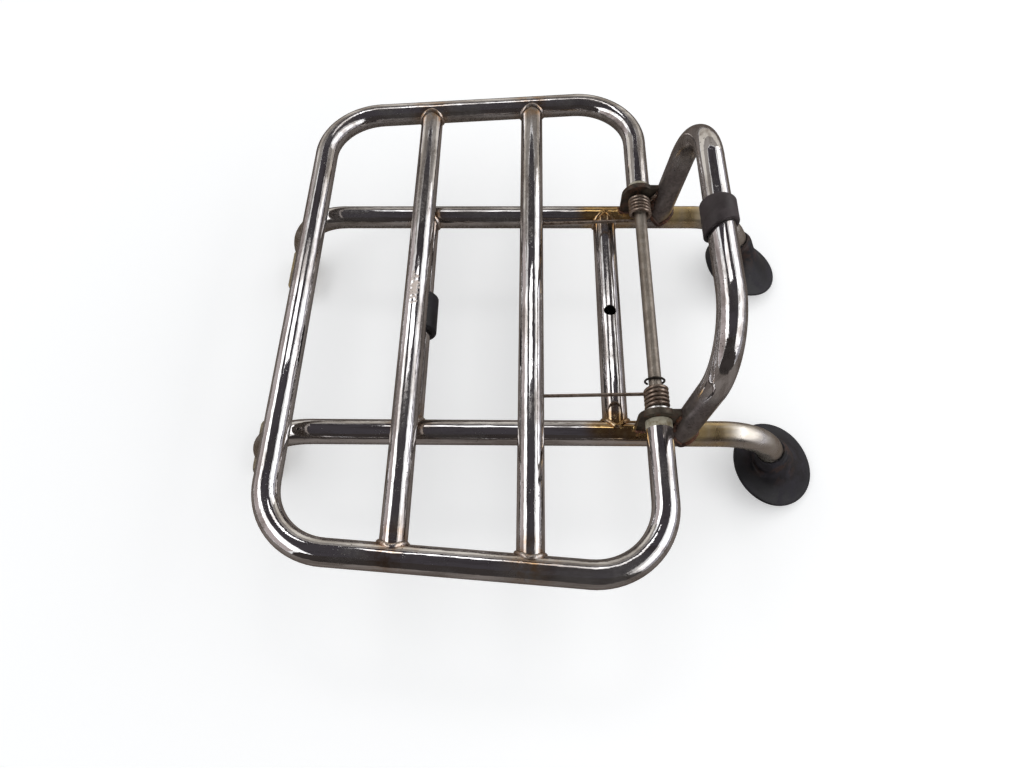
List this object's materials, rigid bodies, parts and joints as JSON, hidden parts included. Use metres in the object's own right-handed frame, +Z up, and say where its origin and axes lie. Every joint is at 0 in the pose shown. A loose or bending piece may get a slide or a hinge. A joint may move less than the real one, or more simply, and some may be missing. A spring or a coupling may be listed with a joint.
{
  "type": "motorcycle luggage rack",
  "caption": "Fold-down tubular luggage rack with a hinged rectangular platform, an upright rear hoop, rubber feet and bolt-on brackets.",
  "frame": {"origin": "middle of the footprint, on the surface that the rack stands on", "axes": "+X along the arms towards the rubber feet, +Y along the hinge to the left side, +Z up"},
  "size_m": [0.3828, 0.376, 0.1701],
  "materials": {
    "tube": "worn decorative chrome, pitted, with brown staining and rust near the welds",
    "plate": "bare steel with olive grey and brown rust",
    "bracket": "dull yellow zinc plating",
    "rubber": "aged matte black rubber",
    "rod": "satin steel with brown rust",
    "wire": "brown oxidised spring wire",
    "collar": "bright, lightly worn",
    "bush": "aged beige plastic"
  },
  "bodies": {
    "frame": {"left_arm": "tube", "right_arm": "tube", "front_brace": "tube", "rear_brace": "tube", "hoop": "tube", "left_ear": "plate", "right_ear": "plate", "left_bracket": "bracket", "right_bracket": "bracket", "left_foot": "rubber", "right_foot": "rubber", "brace_sleeve": "rubber", "hoop_sleeve": "rubber", "hinge_rod": "rod", "rod_ring": "wire", "spring_collar": "collar", "left_spring": "wire", "right_spring": "wire"},
    "platform": {"platform_loop": "tube", "inner_bar": "tube", "outer_bar": "tube", "left_bush": "bush", "right_bush": "bush"}
  },
  "joints": [
    {"name": "platform_fold", "type": "hinge", "parent": "frame", "child": "platform", "pos_m": [0.07508, 0, 0.08231], "axis": [0, 1, 0], "range_deg": [0, 98], "deforming": ["left_spring", "right_spring"]}
  ]
}
